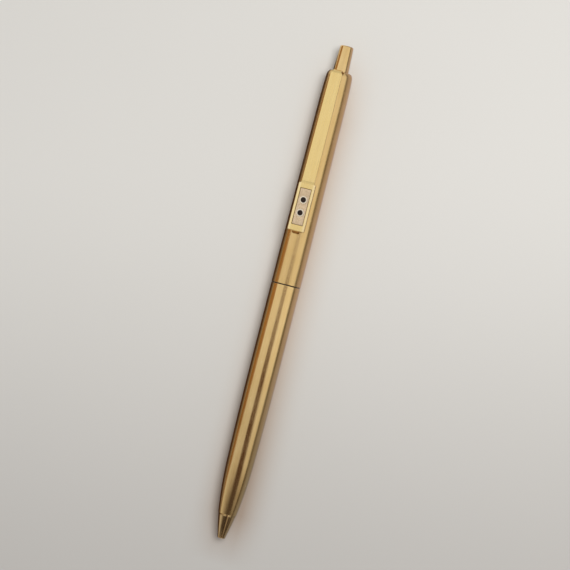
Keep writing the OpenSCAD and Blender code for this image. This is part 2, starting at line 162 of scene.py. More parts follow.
def finish_mesh(mesh, sharp_deg):
    """Smooth shading, with edges over sharp_deg kept sharp."""
    mesh.polygons.foreach_set("use_smooth", [True] * len(mesh.polygons))
    mesh.set_sharp_from_angle(angle=math.radians(sharp_deg))


def bridge(bm, ring_a, ring_b):
    """Quads between two rings of vertices, triangles where one is a pole, or nothing between
    two poles."""
    count = max(len(ring_a), len(ring_b))
    for i in range(count):
        j = (i + 1) % count
        corners = [
            ring_a[i % len(ring_a)], ring_a[j % len(ring_a)],
            ring_b[j % len(ring_b)], ring_b[i % len(ring_b)],
        ]
        corners = list(dict.fromkeys(corners))
        if len(corners) > 2:
            bm.faces.new(corners)


def along_x(x, r, turn):
    """A point at height r round the pen's axis."""
    return Vector((x, r * math.cos(turn), r * math.sin(turn)))


def supported(points, reach=0.05 * MM):
    """The same loop, with a point near each end of every long side, so that its shading
    stays flat beside a rounded corner."""
    result = []
    for (x0, y0), (x1, y1) in zip(points, points[1:] + points[:1]):
        result.append((x0, y0))
        length = math.hypot(x1 - x0, y1 - y0)
        if length > 6 * reach:
            for share in (reach / length, 1 - reach / length):
                result.append((x0 + (x1 - x0) * share, y0 + (y1 - y0) * share))
    return result


def revolve(name, outline, segments=192, place=along_x, sharp_deg=35):
    """A closed solid: the outline is a loop of (along, radius) points."""
    bm = bmesh.new()
    rings = []
    for along, r in supported(outline):
        if r < 1e-7:
            rings.append([bm.verts.new(place(along, 0, 0))])
        else:
            turns = [2 * math.pi * i / segments for i in range(segments)]
            rings.append([bm.verts.new(place(along, r, t)) for t in turns])
    for a, b in zip(rings, rings[1:] + rings[:1]):
        bridge(bm, a, b)
    return make_object(name, bm, sharp_deg)


def stack_loops(name, loops, sharp_deg=35):
    """A solid through rings of equal length, closed by a face at each end."""
    bm = bmesh.new()
    rings = [[bm.verts.new(p) for p in loop] for loop in loops]
    for a, b in zip(rings, rings[1:]):
        bridge(bm, a, b)
    bm.faces.new(rings[0])
    bm.faces.new(rings[-1])
    return make_object(name, bm, sharp_deg)


def combine(target, other, operation):
    """Applies an exact boolean to target and removes the other object."""
    step = target.modifiers.new("join", "BOOLEAN")
    step.operation = operation
    step.solver = "EXACT"
    step.object = other
    graph = bpy.context.evaluated_depsgraph_get()
    mesh = bpy.data.meshes.new_from_object(target.evaluated_get(graph))
    target.modifiers.clear()
    target.data = mesh
    bpy.data.objects.remove(other)
    bm = bmesh.new()
    bm.from_mesh(mesh)
    bmesh.ops.remove_doubles(bm, verts=bm.verts, dist=1e-7)
    bmesh.ops.dissolve_degenerate(bm, edges=bm.edges, dist=1e-7)
    bm.to_mesh(mesh)
    bm.free()
    finish_mesh(mesh, 35)


def arc(centre, r, start_deg, end_deg, steps=8):
    """Points on an arc in a plane, from one angle to another."""
    turns = [start_deg + (end_deg - start_deg) * i / steps for i in range(steps + 1)]
    return [
        (centre[0] + r * math.cos(math.radians(t)), centre[1] + r * math.sin(math.radians(t)))
        for t in turns
    ]


def rounded_rect(length, width, corner, steps=6):
    """(x, y) points round a rectangle with rounded corners, centred on the origin."""
    points = []
    for quarter in range(4):
        sx = 1 if quarter in (0, 3) else -1
        sy = 1 if quarter in (0, 1) else -1
        centre = (sx * (length / 2 - corner), sy * (width / 2 - corner))
        points += arc(centre, corner, 90 * quarter, 90 * quarter + 90, steps)
    return supported(points)


def curve_drop(t, slope, bend):
    """Radius lost along a curve that starts with a slope and tightens with a bend."""
    return slope * t + t * t / (2 * bend)


def steps_between(start, end, count):
    """Evenly spaced values from start to end, both included."""
    return [start + (end - start) * i / count for i in range(count + 1)]


# ---------------------------------------------------------------- pieces

def paint(piece, material):
    """Material of a new piece."""
    piece.data.materials.clear()
    piece.data.materials.append(material)


def dress(piece, body, material, node):
    """Material and body of a new piece, with the CAD node it replaces hidden."""
    paint(piece, material)
    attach(piece, body)
    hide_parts(node)


def barrel_tube():
    """The drawn barrel: straight, swelling in gently, then curving to the nose joint."""
    swell_bend = SWELL_L ** 2 / (2 * SWELL_DROP)
    slope = SWELL_L / swell_bend
    swell_x = BARREL_SEAM - STRAIGHT_L
    front_x = swell_x - SWELL_L
    front_l = front_x - BARREL_FRONT
    drop = BODY_R - SWELL_DROP - NOSE_JOINT_R
    front_bend = front_l ** 2 / (2 * (drop - slope * front_l))
    outline = [(BARREL_SEAM - EDGE_ROUND + a, BODY_R - EDGE_ROUND + b)
               for a, b in arc((0, 0), EDGE_ROUND, 0, 90, 5)]
    outline += [(x, BODY_R) for x in steps_between(BARREL_SEAM - 1 * MM, swell_x, 6)]
    outline += [(swell_x - t, BODY_R - curve_drop(t, 0, swell_bend))
                for t in steps_between(SWELL_L / 28, SWELL_L, 28)]
    outline += [(front_x - t, BODY_R - SWELL_DROP - curve_drop(t, slope, front_bend))
                for t in steps_between(front_l / 30, front_l - FRONT_LIP_R, 30)]
    rim = (BARREL_FRONT + FRONT_LIP_R, NOSE_JOINT_R - FRONT_LIP_R)
    outline += arc(rim, FRONT_LIP_R, 108, 180, 6)
    seat_r = SPIGOT_R + SNUG
    bore_r = radius("barrel_coupling") + SNUG
    outline += [(BARREL_FRONT, seat_r), (BARREL_FRONT + 3.8 * MM, seat_r)]
    # inside, the wall roughly follows the outside
    outline += [(-55 * MM, 2.55 * MM), (-46 * MM, 3.1 * MM), (-28 * MM, bore_r)]
    outline += [(BARREL_SEAM, bore_r)]
    return revolve("barrel_tube", outline, 256)


def nose():
    """The polished point end, with its spigot inside the barrel."""
    x0 = BARREL_FRONT - SNUG
    start_r = NOSE_JOINT_R - 0.08 * MM
    groove_r = start_r - 0.14 * MM
    groove_l = 0.09 * MM
    end_r = 1.03 * MM
    throat_r = 0.75 * MM
    rim_r = 0.2 * MM
    start_x = x0 - groove_l
    length = start_x - NOSE_END - rim_r
    slope = 0.19
    bend = length ** 2 / (2 * (start_r - end_r - slope * length))
    edge = 0.09 * MM
    mouth_edge = 0.06 * MM
    throat_l = 1.9 * MM
    chamber_r = 1.5 * MM
    outline = [(x0, groove_r), (start_x, groove_r)]
    outline += arc((start_x - edge, start_r - edge), edge, 0, 80, 4)
    outline += [(start_x - t, start_r - curve_drop(t, slope, bend))
                for t in steps_between(edge * 2, length, 36)]
    outline += arc((NOSE_END + rim_r, end_r - rim_r), rim_r, 100, 180, 6)
    outline += arc((NOSE_END + mouth_edge, throat_r + mouth_edge), mouth_edge, 180, 270, 4)
    outline += [
        (NOSE_END + throat_l, throat_r), (x0 - 0.5 * MM, chamber_r),
        (SPIGOT_TOP, chamber_r), (SPIGOT_TOP, SPIGOT_R), (x0, SPIGOT_R),
    ]
    return revolve("nose_tip", outline, 192)


def cap_tube():
    """The cap: tapered, necked, and rounded over to a flat top with a slot for the clip."""
    neck_x = CAP_TOP - CAP_NECK_BACK
    shoulder_x = CAP_TOP - SHOULDER_L
    slope = (BODY_R - CAP_NECK_R) / (neck_x - CAP_STRAIGHT_L)
    neck_l = shoulder_x - neck_x
    bend = neck_l ** 2 / (2 * (CAP_NECK_R - CAP_SHOULDER_R - slope * neck_l))
    outline = arc((CAP_SEAM + EDGE_ROUND, BODY_R - EDGE_ROUND), EDGE_ROUND, 180, 90, 5)
    outline += [(x, BODY_R) for x in steps_between(CAP_SEAM + 1 * MM, CAP_STRAIGHT_L, 4)]
    outline += [(x, BODY_R - slope * (x - CAP_STRAIGHT_L))
                for x in steps_between(CAP_STRAIGHT_L + 1 * MM, neck_x, 30)]
    outline += [(neck_x + t, CAP_NECK_R - curve_drop(t, slope, bend))
                for t in steps_between(neck_l / 12, neck_l, 12)]
    for turn in steps_between(math.pi / 32, math.pi / 2, 15):
        r = CAP_FLAT_R + (CAP_SHOULDER_R - CAP_FLAT_R) * math.cos(turn)
        outline.append((CAP_TOP - SHOULDER_L * (1 - math.sin(turn)), r))
    hole_r = radius("push_button") + 0.12 * MM
    outline += arc((CAP_TOP - EDGE_ROUND, hole_r + EDGE_ROUND), EDGE_ROUND, 0, -90, 4)
    top_bore_r, bore_r = 3.05 * MM, 3.25 * MM
    step_x = CAP_TOP - 7.3 * MM
    bush_end = ends("cap_coupling")[1] + 0.05 * MM
    bush_r = radius("cap_coupling") + SNUG
    outline += [
        (CAP_TOP - ROOF_T, hole_r), (CAP_TOP - ROOF_T, top_bore_r),
        (step_x + 0.3 * MM, top_bore_r), (step_x, bore_r),
        (bush_end, bore_r), (bush_end, bush_r), (CAP_SEAM, bush_r),
    ]
    piece = revolve("cap_tube", outline, 256)
    combine(piece, slot_cutter(), "DIFFERENCE")
    return piece


def slot_cutter():
    """The block that cuts the clip's slot through the cap's top."""
    slot_w, slot_z0, slot_z1 = 3.1 * MM, 1.3 * MM, 3.6 * MM
    mid_z = (slot_z0 + slot_z1) / 2
    points = rounded_rect(slot_z1 - slot_z0, slot_w, 0.2 * MM)
    loops = [[Vector((x, y, mid_z + z)) for z, y in points]
             for x in (CAP_TOP - ROOF_T - 0.1 * MM, CAP_TOP + 1 * MM)]
    return stack_loops("slot_cutter", loops)


def button_cap():
    """The conical push button, rounded over at its top."""
    base_r = radius("push_button")
    top_r = 1.78 * MM
    corner = 0.35 * MM
    bore_r = 1.6 * MM
    roof = 0.6 * MM
    crown = 0.04 * MM
    outline = [(BUTTON_FOOT, bore_r), (BUTTON_FOOT, base_r), (CAP_TOP, base_r)]
    side_l = BUTTON_TOP - corner - CAP_TOP
    outline += [(CAP_TOP + t, base_r + (top_r - base_r) * t / side_l)
                for t in steps_between(side_l / 10, side_l * 0.98, 10)]
    outline += arc((BUTTON_TOP - corner - crown, top_r - corner), corner, 88, 12, 10)
    outline += [(BUTTON_TOP - crown * (r / top_r) ** 2, r)
                for r in steps_between(top_r * 0.72, 0, 6)]
    outline += [(BUTTON_TOP - roof, 0), (BUTTON_TOP - roof, bore_r)]
    return revolve("button_cap", outline, 160)


def loft_strip(name, path, corner):
    """A sheet strip: path holds (x, z, width, angle of the sheet's direction)."""
    bm = bmesh.new()
    rings = []
    for x, z, width, angle in path:
        normal = Vector((-math.sin(angle), 0, math.cos(angle)))
        ring = []
        for u, v in rounded_rect(width, CLIP_T, corner, 3):
            ring.append(bm.verts.new(Vector((x, 0, z)) + Vector((0, u, 0)) + normal * v))
        rings.append(ring)
    for a, b in zip(rings, rings[1:]):
        bridge(bm, a, b)
    bm.faces.new(rings[0])
    bm.faces.new(rings[-1])
    return make_object(name, bm, 40)


def clip_path():
    """Middle line of the clip's sheet, from the tab in the cap to the frame."""
    half = CLIP_T / 2
    root_top = CLIP_HIGH.x
    outer_bend = 1.2 * MM
    inner_bend = 0.5 * MM
    tab_z = 2.26 * MM + half
    tab_x = CAP_TOP - 2.7 * MM
    strip_root = 4.3 * MM
    strip_end = 4.75 * MM
    end_x = FRAME_X1 + RAMP_L
    path = [(x, tab_z, TAB_W, 0.0) for x in steps_between(tab_x, root_top - 0.9 * MM, 4)]
    centre = (root_top - inner_bend, tab_z - half + inner_bend)
    for turn in steps_between(0, math.pi / 2, 6):
        r = inner_bend - half
        width = TAB_W + (ROOT_W - TAB_W) * turn / (math.pi / 2)
        path.append((centre[0] + r * math.sin(turn), centre[1] - r * math.cos(turn), width, turn))
    centre = (root_top - outer_bend, strip_root - outer_bend)
    r = outer_bend - half
    for turn in steps_between(0, math.pi / 2, 18):
        x = centre[0] + r * math.cos(turn)
        share = max(0.0, min(1.0, (x - ROOT_START) / ROOT_TAPER_L))
        width = STRIP_TOP_W + (ROOT_W - STRIP_TOP_W) * share * share * (3 - 2 * share)
        path.append((x, centre[1] + r * math.sin(turn), width, math.pi / 2 + turn))
    slope = math.atan2(strip_end - strip_root, centre[0] - end_x)
    shares = [0.01, 0.03] + steps_between(0.06, 0.96, 22) + [0.993, 0.998]
    for t in shares:
        x = centre[0] + (end_x - centre[0]) * t
        z = strip_root - half + (strip_end - strip_root) * t
        path.append((x, z, STRIP_TOP_W + (STRIP_W - STRIP_TOP_W) * t, math.pi - slope))
    rise = FRAME_TOP - 0.05 * MM - strip_end
    tilt = math.pi - math.atan2(rise, RAMP_L)
    for share in (0.05, 0.12, 0.88, 0.97):
        path.append((end_x - RAMP_L * share, strip_end - half + rise * share, STRIP_W, tilt))
    path.append((FRAME_X1 - 0.3 * MM, strip_end - half + rise, STRIP_W, math.pi))
    return path


def frame_block():
    """The frame at the clip's free end: flat rims with soft edges round a sunk pocket."""
    mid_x = (FRAME_X0 + FRAME_X1) / 2
    low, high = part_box("clip_inlay")
    pocket_x = (low.x + high.x) / 2
    pocket_l = high.x - low.x + 0.1 * MM
    pocket_w = high.y - low.y + 0.1 * MM
    floor_z = low.z - SNUG
    hold = 0.03 * MM
    lip = 0.05 * MM
    loops = []

    def add(mid, length, width, corner, z):
        points = rounded_rect(length, width, corner, 5)
        loops.append([Vector((mid + a, b, z)) for a, b in points])

    def add_outer(inset, drop):
        add(mid_x, FRAME_L - 2 * inset, FRAME_W - 2 * inset, 0.2 * MM - inset, FRAME_TOP - drop)

    def add_pocket(outset, drop):
        add(pocket_x, pocket_l + 2 * outset, pocket_w + 2 * outset, 0.08 * MM + outset,
            FRAME_TOP - drop)

    add_outer(lip, FRAME_T)
    add_outer(0, FRAME_T - lip)
    add_outer(0, FRAME_BEVEL + hold)
    for turn in steps_between(0, math.pi / 2, 4):
        add_outer(FRAME_BEVEL * (1 - math.cos(turn)), FRAME_BEVEL * (1 - math.sin(turn)))
    add_outer(FRAME_BEVEL + hold, 0)
    add_pocket(lip + hold, 0)
    for turn in steps_between(0, math.pi / 2, 3):
        add_pocket(lip * (1 - math.sin(turn)), lip * (1 - math.cos(turn)))
    add_pocket(0, lip + hold)
    add_pocket(0, FRAME_TOP - floor_z)
    return stack_loops("frame_block", loops, 40)


def clip_foot():
    """The lip under the free end, which slopes down to a rounded edge just clear of the cap."""
    half_w = 0.975 * MM
    centre = (FRAME_X0 - 0.3 * MM, 4.25 * MM)
    edge = 0.1 * MM
    root_x = FRAME_X0 + 0.35 * MM
    side = [(root_x, FRAME_TOP - FRAME_T + edge), (root_x, FRAME_TOP - 0.2 * MM)]
    side += [(FRAME_X0 + 0.05 * MM, FRAME_TOP - 0.17 * MM)]
    side += arc(centre, FOOT_R, 128, 270, 12)
    side += [(FRAME_X0, FRAME_TOP - FRAME_T + edge / 2)]
    middle = Vector((FRAME_X0 - 0.05 * MM, 0, 4.47 * MM))
    # towards each end, every loop shrinks a little to its middle
    corner = [(half_w, 0.2), (half_w - edge * 0.3, 0.06), (half_w - edge, 0)]
    loops = []
    for y, shrink in corner + [(-y, shrink) for y, shrink in reversed(corner)]:
        points = [Vector((x, 0, z)) for x, z in supported(side)]
        loops.append([p.lerp(middle, shrink) + Vector((0, y, 0)) for p in points])
    return stack_loops("clip_foot", loops, 40)


def clip_piece():
    """Strip, frame and foot of the clip as one closed mesh."""
    piece = frame_block()
    combine(piece, loft_strip("strip", clip_path(), 0.1 * MM), "UNION")
    combine(piece, clip_foot(), "UNION")
    piece.name = "clip_sheet"
    piece.data.name = "clip_sheet"
    return piece


def stud_centres():
    """Centres of the two studs on the inlay."""
    low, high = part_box("stud_rims")
    r = (high.y - low.y) / 2
    return [low.x + r, high.x - r]


def upright(centre_x):
    """Turns an outline about a vertical line through the clip's face."""
    def place(along, r, turn):
        return Vector((centre_x + r * math.cos(turn), r * math.sin(turn), along))
    return place


def inlay_plate():
    """The silver plate, with soft edges and a hole for each stud."""
    low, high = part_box("clip_inlay")
    mid = (low.x + high.x) / 2
    length, width = high.x - low.x - 2 * INLAY_GAP, high.y - low.y - 2 * INLAY_GAP
    soft = 0.04 * MM
    loops = []
    profile = [(0, low.z), (0, high.z - soft), (0.35 * soft, high.z - 0.3 * soft),
               (soft, high.z), (2 * soft, high.z)]
    for cut, z in profile:
        points = rounded_rect(length - 2 * cut, width - 2 * cut, 0.1 * MM, 4)
        loops.append([Vector((mid + a, b, z)) for a, b in points])
    piece = stack_loops("inlay_plate", loops, 30)
    hole_r = radius("stud_rims") + SNUG
    for centre in stud_centres():
        outline = [
            (low.z - 0.2 * MM, 0), (low.z - 0.2 * MM, hole_r),
            (high.z + 0.2 * MM, hole_r), (high.z + 0.2 * MM, 0),
        ]
        combine(piece, revolve("hole", outline, 64, upright(centre)), "DIFFERENCE")
    return piece


def join_pieces(name, parts):
    """One object from several closed solids."""
    bm = bmesh.new()
    for part in parts:
        bm.from_mesh(part.data)
        bpy.data.objects.remove(part)
    return make_object(name, bm)


def rim_rings():
    """The two half-round silver rims of the studs."""
    low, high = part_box("stud_rims")
    outer_r = (high.y - low.y) / 2
    inner_r = radius("stud_enamel") + SNUG
    mid_r = (outer_r + inner_r) / 2
    bead = (outer_r - inner_r) / 2
    rings = []
    for centre in stud_centres():
        outline = [(low.z, inner_r)]
        outline += [(high.z - bead * 0.12 * (1 - math.sin(t)), mid_r - bead * math.cos(t))
                    for t in steps_between(0, math.pi, 12)]
        outline += [(low.z, outer_r)]
        rings.append(revolve("rim", outline, 96, upright(centre)))
    return join_pieces("stud_rings", rings)


def enamel_fills():
    """The two slightly domed enamel fills."""
    low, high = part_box("stud_enamel")
    r = radius("stud_enamel")
    dome = 0.05 * MM
    fills = []
    for centre in stud_centres():
        outline = [(low.z, 0), (low.z, r)]
        outline += [(high.z - dome * (s / r) ** 2, s) for s in steps_between(r, 0, 8)]
        fills.append(revolve("fill", outline, 72, upright(centre)))
    return join_pieces("stud_fills", fills)


def coil():
    """The return spring, with a closed turn at each end."""
    wire_r = 0.15 * MM
    mid_r = radius("return_spring") - wire_r
    turns = 11
    steps = 40
    sides = 12
    first, last = SPRING_FRONT + wire_r, SPRING_BACK - wire_r
    pitch = (last - first - 4 * wire_r) / (turns - 2)
    bm = bmesh.new()
    rings = []
    for i in range(turns * steps + 1):
        turn = i / steps
        if turn < 1:
            x = first + 2 * wire_r * turn
        elif turn > turns - 1:
            x = last - 2 * wire_r * (turns - turn)
        else:
            x = first + 2 * wire_r + pitch * (turn - 1)
        angle = 2 * math.pi * turn
        ring = []
        for j in range(sides):
            side = 2 * math.pi * j / sides
            r = mid_r + wire_r * math.cos(side)
            ring.append(bm.verts.new(along_x(x + wire_r * math.sin(side), r, angle)))
        rings.append(ring)
    for a, b in zip(rings, rings[1:]):
        bridge(bm, a, b)
    bm.faces.new(rings[0])
    bm.faces.new(rings[-1])
    return make_object("spring_coil", bm, 50)


def threaded_bush():
    """The barrel's bush, with a true right-hand helix on its stub."""
    low_x, high_x = ends("barrel_coupling")
    press_r = radius("barrel_coupling")
    major_r, minor_r, bore_r = 2.9 * MM, 2.6 * MM, 2.3 * MM
    pitch = 0.75 * MM
    shoulder_x = BARREL_SEAM - 0.1 * MM
    start_x, end_x = 0.5 * MM, high_x - 0.25 * MM
    segments = 96
    fade = 0.6 * MM

    def thread_r(x, turn):
        """Radius of the helix at x and turn, running out at both ends."""
        phase = (x / pitch - turn / (2 * math.pi)) % 1.0
        crest = max(0.0, min(1.0, 1.6 - 4.4 * abs(phase - 0.5)))
        ease = max(0.0, min(1.0, (x - start_x) / fade, (end_x - x) / (fade * 0.5)))
        return minor_r + (major_r - minor_r) * crest * ease

    bm = bmesh.new()
    turns = [2 * math.pi * i / segments for i in range(segments)]
    rows = [(low_x, bore_r), (low_x, press_r), (shoulder_x, press_r), (shoulder_x, minor_r)]
    rings = [[bm.verts.new(along_x(x, r, t)) for t in turns] for x, r in rows]
    for x in steps_between(start_x, end_x, 100):
        rings.append([bm.verts.new(along_x(x, thread_r(x, t), t)) for t in turns])
    chamfer = 0.1 * MM
    rows = [(high_x, minor_r - chamfer), (high_x, bore_r)]
    rings += [[bm.verts.new(along_x(x, r, t)) for t in turns] for x, r in rows]
    for a, b in zip(rings, rings[1:] + rings[:1]):
        bridge(bm, a, b)
    return make_object("threaded_bush", bm, 40)


def black_ring():
    """The thin ring in the seam, with soft edges."""
    low_x, high_x = ends("seam_ring")
    outer_r = radius("seam_ring")
    inner_r = 2.95 * MM
    soft = 0.04 * MM
    outline = [(low_x, inner_r), (low_x, outer_r - soft)]
    outline += arc((low_x + soft, outer_r - soft), soft, 180, 90, 4)
    outline += arc((high_x - soft, outer_r - soft), soft, 90, 0, 4)
    outline += [(high_x, inner_r)]
    return revolve("seam_washer", outline, 192)


def point_housing():
    """The writing point: neck, cone and the lip that holds the ball."""
    lip_x, stem_x = ends("refill_tip")
    ball_low, ball_high = ends("writing_ball")
    ball_x = (ball_low + ball_high) / 2
    ball_r = (ball_high - ball_low) / 2
    socket_r = ball_r + SNUG
    neck_r, body_r, stem_r = 0.65 * MM, 1.25 * MM, 0.78 * MM
    cone_x = stem_x - 6.2 * MM
    body_x = stem_x - 3.2 * MM
    lip_deg = math.degrees(math.asin((lip_x - ball_x) / socket_r))
    channel_r = 0.2 * MM
    channel_deg = math.degrees(math.acos(channel_r / socket_r))
    outline = [(ball_x + b, a) for a, b in arc((0, 0), socket_r, lip_deg, channel_deg, 14)]
    outline += [(stem_x, channel_r), (stem_x, stem_r), (body_x, stem_r), (body_x, body_r)]
    blend = 0.3 * MM
    outline += [(body_x - blend * t, body_r - 0.04 * MM * t * t) for t in steps_between(0.1, 1, 5)]
    outline += [(cone_x + 0.2 * MM, neck_r + 0.03 * MM), (cone_x, neck_r)]
    outline += [(ball_x + 0.5 * MM, neck_r), (ball_x + 0.45 * MM, neck_r - 0.02 * MM)]
    outline += [(lip_x + 0.03 * MM, ball_r + 0.08 * MM), (lip_x, ball_r + 0.06 * MM)]
    return revolve("point_housing", outline, 96)


def point_ball():
    """The ball in the point."""
    low, high = ends("writing_ball")
    mid, r = (low + high) / 2, (high - low) / 2
    outline = [(mid - r * math.cos(t), r * math.sin(t)) for t in steps_between(0, math.pi, 24)]
    return revolve("point_ball", outline, 48)


# ---------------------------------------------------------------- material helpers

def linear(*rgb):
    """A display colour, 0 to 255, as linear values."""
    values = [c / 255 for c in rgb]
    return [c / 12.92 if c <= 0.04045 else ((c + 0.055) / 1.055) ** 2.4 for c in values] + [1.0]


class Nodes:
    """Short ways to build one node tree."""

    def __init__(self, tree):
        self.tree = tree

    def add(self, kind, inputs=None, **settings):
        """A node; inputs maps socket names or numbers to values or to other sockets."""
        node = self.tree.nodes.new(kind)
        for key, value in settings.items():
            setattr(node, key, value)
        for key, value in (inputs or {}).items():
            if isinstance(value, bpy.types.NodeSocket):
                self.tree.links.new(value, node.inputs[key])
            else:
                node.inputs[key].default_value = value
        return node

    def calc(self, operation, a, b=0.0, clamp=False):
        """A math node's result."""
        node = self.add("ShaderNodeMath", {0: a, 1: b}, operation=operation, use_clamp=clamp)
        return node.outputs[0]

    def product(self, *factors):
        """The factors multiplied together."""
        result = factors[0]
        for factor in factors[1:]:
            result = self.calc("MULTIPLY", result, factor)
        return result

    def tinted(self, colour, tint):
        """A colour multiplied by a tint."""
        return self.mix(1.0, colour, tint, "MULTIPLY")

    def axes(self):
        """Object coordinates in metres: along the pen, across it and up."""
        coords = self.add("ShaderNodeTexCoord").outputs["Object"]
        return self.add("ShaderNodeSeparateXYZ", {0: coords}).outputs

    def is_reflection(self):
        """1 for what is seen in a glossy surface, and 0 for anything else."""
        return self.add("ShaderNodeLightPath").outputs["Is Glossy Ray"]

    def noise(self, vector, detail=3.0, rough=0.5, scale=1.0):
        """Noise around 0.5 at the given coordinates."""
        inputs = {"Vector": vector, "Scale": scale, "Detail": detail, "Roughness": rough}
        return self.add("ShaderNodeTexNoise", inputs).outputs["Fac"]

    def remap(self, value, low, high, to_low=0.0, to_high=1.0, smooth=False):
        """Maps low..high to to_low..to_high, held at the ends."""
        kind = "SMOOTHSTEP" if smooth else "LINEAR"
        inputs = {"Value": value, "From Min": low, "From Max": high,
                  "To Min": to_low, "To Max": to_high}
        node = self.add("ShaderNodeMapRange", inputs, interpolation_type=kind)
        return node.outputs[0]

    def mix(self, factor, a, b, blend="MIX"):
        """Two colours mixed."""
        # among the node's many sockets, 6 and 7 take the colours and output 2 gives the result
        inputs = {0: factor, 6: a, 7: b}
        node = self.add("ShaderNodeMix", inputs, data_type="RGBA", blend_type=blend)
        return node.outputs[2]

    def stretched(self, x, y, z):
        """Object coordinates, in metres, times a scale on each axis."""
        coords = self.add("ShaderNodeTexCoord").outputs["Object"]
        node = self.add("ShaderNodeVectorMath", {0: coords, 1: (x, y, z)}, operation="MULTIPLY")
        return node.outputs[0]

    def bump(self, height, distance, normal=None):
        """A bumped normal; distance is the height of the relief in metres."""
        inputs = {"Height": height, "Distance": distance, "Strength": 1.0}
        if normal is not None:
            inputs["Normal"] = normal
        return self.add("ShaderNodeBump", inputs).outputs[0]


def new_material(name, **values):
    """A material and its node helper, with the surface node's values set."""
    material = bpy.data.materials.new(name)
    material.use_nodes = True
    nodes = Nodes(material.node_tree)
    surface = material.node_tree.nodes["Principled BSDF"]
    for key, value in values.items():
        surface.inputs[key.replace("_", " ")].default_value = value
    return material, nodes, surface


def connect(nodes, surface, **sockets):
    """Links sockets to the surface node's inputs."""
    for key, socket in sockets.items():
        nodes.tree.links.new(socket, surface.inputs[key.replace("_", " ")])


def scratches(nodes, across, along, turn, width):
    """Fine straight scratches: 1 on a scratch and 0 elsewhere."""
    coords = nodes.add("ShaderNodeTexCoord").outputs["Object"]
    rotated = nodes.add("ShaderNodeMapping", {"Vector": coords, "Rotation": turn,
                                              "Scale": (along, across, across)})
    lines = nodes.noise(rotated.outputs[0], 2.0, 0.6)
    distance = nodes.calc("ABSOLUTE", nodes.calc("SUBTRACT", lines, 0.5))
    thin = nodes.remap(distance, 0.0, width, 1.0, 0.0)
    where = nodes.noise(nodes.stretched(260, 420, 420), 2.0)
    return nodes.product(thin, nodes.remap(where, 0.52, 0.68))


def plated_metal(name, bright, deep, rough, brush_lines, local_painted_light=None):
    """Gold-coloured plate: brushed along the pen, with grain, fine scratches, dull patches and
    painted shade in crevices. The local colour function, where given, paints highlight and shade in
    places."""
    wear = 0.03
    scratch_depth = 1.5e-6
    material, nodes, surface = new_material(name, Metallic=1.0)
    lines = nodes.noise(nodes.stretched(260, 11000, 11000), 3.0, 0.6)
    broad = nodes.noise(nodes.stretched(60, 1800, 1800), 2.0)
    grain = nodes.noise(nodes.stretched(16000, 16000, 16000), 2.0)
    patches = nodes.noise(nodes.stretched(170, 330, 330), 4.0, 0.6)
    marks = scratches(nodes, across=1500, along=150, turn=(0.2, 0.25, 0.35), width=0.012)
    shade = nodes.calc("ADD", nodes.calc("MULTIPLY", patches, 0.6),
                       nodes.calc("MULTIPLY", broad, 0.4))
    colour = nodes.mix(nodes.remap(shade, 0.32, 0.68), deep, bright)
    if local_painted_light:
        colour = local_painted_light(nodes, colour)
    # painted shade: ambient occlusion turns the colour dark brown in crevices, pockets and under
    # the clip's frame
    crevice_occlusion = nodes.add("ShaderNodeAmbientOcclusion", {"Distance": 0.5 * MM}, samples=4)
    crevice_shaded = nodes.mix(nodes.remap(crevice_occlusion.outputs["AO"], 0.25, 0.8), linear(116, 84, 46), colour)
    streaked = nodes.remap(lines, 0.25, 0.75, -brush_lines, brush_lines)
    base = nodes.calc("ADD", nodes.remap(patches, 0.3, 0.75, rough - wear, rough + wear), streaked)
    roughness = nodes.calc("ADD", base, nodes.calc("MULTIPLY", marks, 0.16), True)
    relief = nodes.calc("ADD", nodes.calc("MULTIPLY", lines, 0.7),
                        nodes.calc("MULTIPLY", grain, 0.3))
    normal = nodes.bump(relief, 5e-5 * brush_lines)
    normal = nodes.bump(nodes.calc("MULTIPLY", marks, -1.0), scratch_depth, normal)
    connect(nodes, surface, Base_Color=crevice_shaded, Roughness=roughness, Normal=normal)
    return material


def clip_highlight_and_shade(nodes, colour):
    """The clip's colour: a painted highlight that makes its frame's rims paler, and painted shade
    that turns its foot brown.
    """
    along, across, _ = nodes.axes()
    # painted highlight: the frame's side rims are made paler, as where their bevels catch the light
    on_rim = nodes.remap(nodes.calc("ABSOLUTE", across), 1.5 * MM, 1.8 * MM)
    on_frame = nodes.remap(along, FRAME_X1, FRAME_X1 + 0.3 * MM, 1.0, 0.0)
    colour = nodes.mix(nodes.product(on_rim, on_frame), colour, linear(255, 230, 172))
    # painted shade: the foot under the frame's free end is turned dark brown
    on_foot = nodes.remap(along, FRAME_X0 - 0.1 * MM, FRAME_X0, 1.0, 0.0)
    return nodes.mix(on_foot, colour, linear(150, 100, 44))


def brushed_silver():
    """The inlay: warm silver, brushed along its length."""
    material, nodes, surface = new_material("inlay_silver", Metallic=1.0)
    lines = nodes.noise(nodes.stretched(2600, 9000, 9000), 3.0, 0.65)
    patches = nodes.noise(nodes.stretched(500, 700, 700), 3.0)
    colour = nodes.mix(nodes.remap(lines, 0.35, 0.65), linear(206, 178, 142), linear(250, 224, 188))
    roughness = nodes.remap(patches, 0.3, 0.7, 0.24, 0.34)
    normal = nodes.bump(lines, 7e-6)
    connect(nodes, surface, Base_Color=colour, Roughness=roughness, Normal=normal)
    return material


def polished_silver():
    """Bright rims of the studs."""
    material, nodes, surface = new_material("stud_silver", Metallic=1.0)
    patches = nodes.noise(nodes.stretched(2500, 2500, 2500), 3.0)
    colour = nodes.mix(patches, linear(255, 236, 208), linear(255, 246, 226))
    roughness = nodes.remap(patches, 0.3, 0.7, 0.26, 0.36)
    connect(nodes, surface, Base_Color=colour, Roughness=roughness,
            Normal=nodes.bump(patches, 4e-6))
    return material


